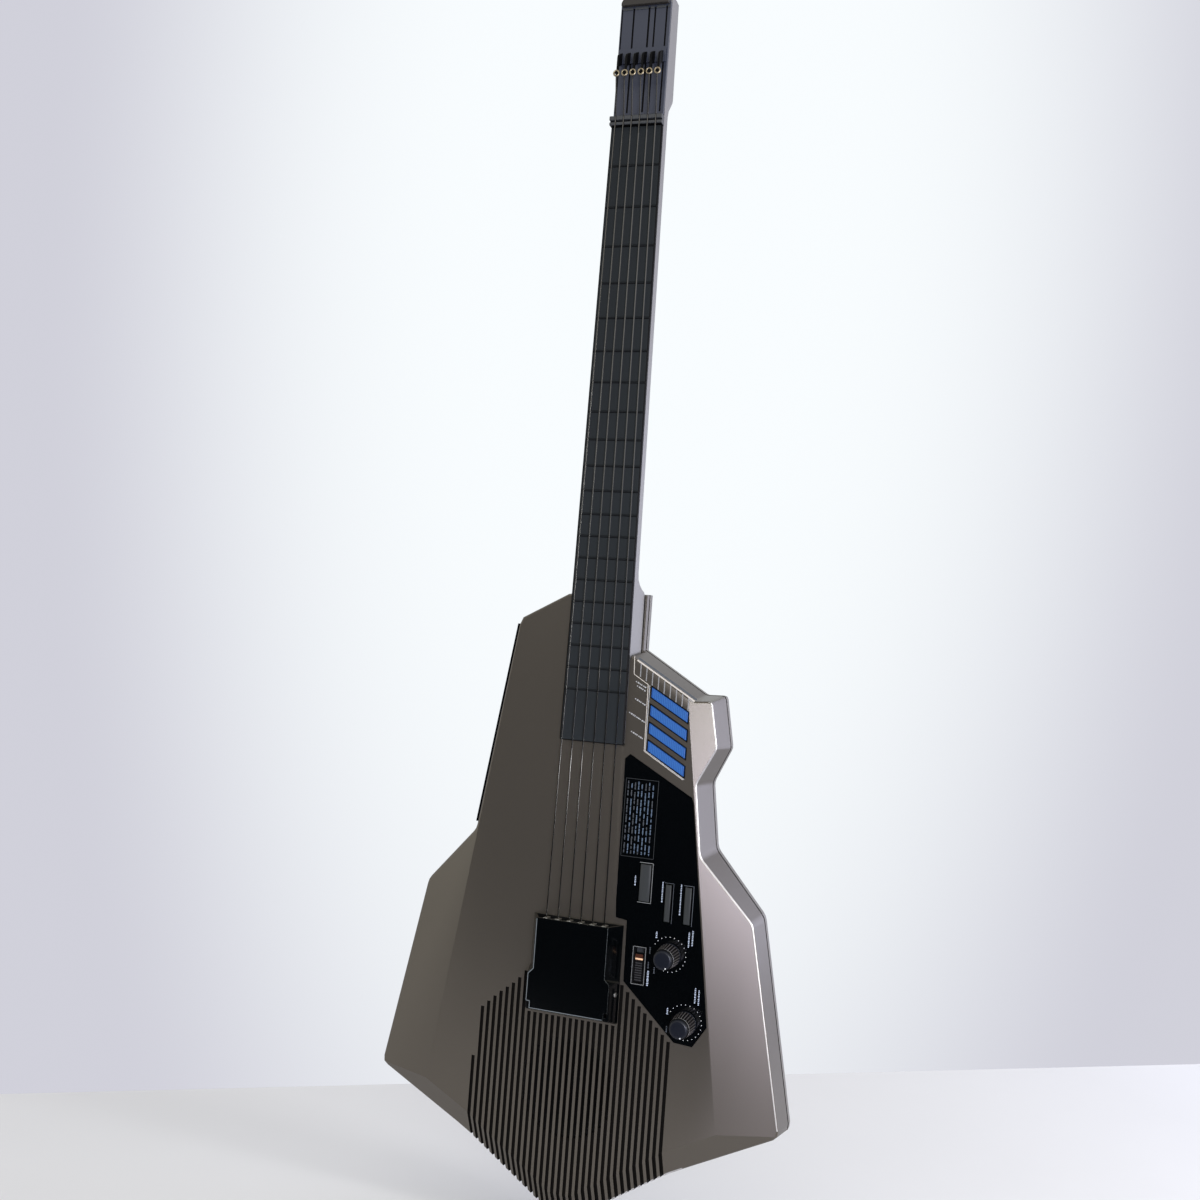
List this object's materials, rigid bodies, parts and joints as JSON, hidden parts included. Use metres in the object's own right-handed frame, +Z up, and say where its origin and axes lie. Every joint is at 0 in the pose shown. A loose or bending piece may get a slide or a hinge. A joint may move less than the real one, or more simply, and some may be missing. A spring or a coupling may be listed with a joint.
{
  "type": "digital guitar",
  "caption": "Headless digital guitar with a moulded grey body, rubber fingerboard neck, string triggers, rhythm pads, volume knobs and a built-in speaker.",
  "frame": {"origin": "back of the neck where a stand's yoke holds it, on the instrument's centre plane", "axes": "+Z up along the neck towards the head, +Y from the front face to the back, +X to the right seen from the front"},
  "size_m": [0.3482, 0.0868, 1.0128],
  "materials": {
    "body_plastic": "metallic grey paint, satin",
    "neck_plastic": "light grey, satin",
    "fingerboard_rubber": "matte, moulded fret ribs",
    "gloss_black": "gloss",
    "matte_black": "matte",
    "pad_blue": "satin, fine ribs",
    "key_grey": "satin",
    "circuit_board": "satin",
    "cone_paper": "matte paper",
    "ferrite": "matte",
    "aluminium": "satin",
    "string_nylon": "black nylon, with brass rings at the head end",
    "steel": "satin"
  },
  "bodies": {
    "guitar": {"battery_case": "matte_black", "battery_contact_1": "steel", "battery_contact_2": "steel", "battery_contact_3": "steel", "bridge_base": "matte_black", "bridge_cover": "gloss_black", "case_screw_1": "steel", "case_screw_2": "steel", "case_screw_3": "steel", "case_screw_4": "steel", "control_board": "circuit_board", "control_panel": "gloss_black", "cover_screw_left": "steel", "cover_screw_right": "steel", "dc_inlet": "matte_black", "fingerboard": "fingerboard_rubber", "front_shell": "body_plastic", "head_cover": "gloss_black", "head_top_bar": "gloss_black", "jack_panel": "gloss_black", "line_out_jack": "matte_black", "main_board": "circuit_board", "main_volume_pot": "aluminium", "midi_out_socket": "matte_black", "neck_core": "aluminium", "neck_shell": "neck_plastic", "neck_switch_board": "circuit_board", "nut": "matte_black", "pad_board": "circuit_board", "power_switch_body": "matte_black", "rear_shell": "body_plastic", "rhythm_volume_pot": "aluminium", "speaker_cone": "cone_paper", "speaker_frame": "matte_black", "speaker_magnet": "ferrite", "strap_button_heel": "steel", "strap_button_tail": "steel", "string_1": "string_nylon", "string_2": "string_nylon", "string_3": "string_nylon", "string_4": "string_nylon", "string_5": "string_nylon", "string_6": "string_nylon", "string_anchor_bar": "aluminium", "string_hook_plate": "matte_black"},
    "battery_door": {"battery_door": "body_plastic"},
    "fill_in_button": {"fill_in_button": "key_grey"},
    "main_volume_knob": {"main_volume_knob": "matte_black"},
    "mute_button": {"mute_button": "key_grey"},
    "pad_1": {"pad_1": "pad_blue"},
    "pad_2": {"pad_2": "pad_blue"},
    "pad_3": {"pad_3": "pad_blue"},
    "pad_4": {"pad_4": "pad_blue"},
    "power_slider": {"power_slider": "matte_black"},
    "rhythm_start_button": {"rhythm_start_button": "key_grey"},
    "rhythm_volume_knob": {"rhythm_volume_knob": "matte_black"}
  },
  "joints": [
    {"name": "pad_1_press", "type": "slide", "parent": "guitar", "child": "pad_1", "axis": [0, 1, 0], "range_m": [0, 0.001], "stiffness_N_per_m": 400},
    {"name": "pad_2_press", "type": "slide", "parent": "guitar", "child": "pad_2", "axis": [0, 1, 0], "range_m": [0, 0.001], "stiffness_N_per_m": 400},
    {"name": "pad_3_press", "type": "slide", "parent": "guitar", "child": "pad_3", "axis": [0, 1, 0], "range_m": [0, 0.001], "stiffness_N_per_m": 400},
    {"name": "pad_4_press", "type": "slide", "parent": "guitar", "child": "pad_4", "axis": [0, 1, 0], "range_m": [0, 0.001], "stiffness_N_per_m": 400},
    {"name": "mute_button_press", "type": "slide", "parent": "guitar", "child": "mute_button", "axis": [0, 1, 0], "range_m": [0, 0.0015], "stiffness_N_per_m": 400},
    {"name": "rhythm_start_button_press", "type": "slide", "parent": "guitar", "child": "rhythm_start_button", "axis": [0, 1, 0], "range_m": [0, 0.0015], "stiffness_N_per_m": 400},
    {"name": "fill_in_button_press", "type": "slide", "parent": "guitar", "child": "fill_in_button", "axis": [0, 1, 0], "range_m": [0, 0.0015], "stiffness_N_per_m": 400},
    {"name": "power_slide", "type": "slide", "parent": "guitar", "child": "power_slider", "axis": [0, 0, 1], "range_m": [0, 0.0045]},
    {"name": "main_volume_turn", "type": "hinge", "parent": "guitar", "child": "main_volume_knob", "pos_m": [0.0774, -0.0224, -0.3897], "axis": [0, -1, 0], "range_deg": [-86, 214]},
    {"name": "rhythm_volume_turn", "type": "hinge", "parent": "guitar", "child": "rhythm_volume_knob", "pos_m": [0.0938, -0.0224, -0.4402], "axis": [0, -1, 0], "range_deg": [-78, 222]},
    {"name": "battery_door_hinge", "type": "hinge", "parent": "guitar", "child": "battery_door", "pos_m": [0.0066, 0.0315, -0.377], "axis": [0, 0, -1], "range_deg": [0, 95]}
  ]
}
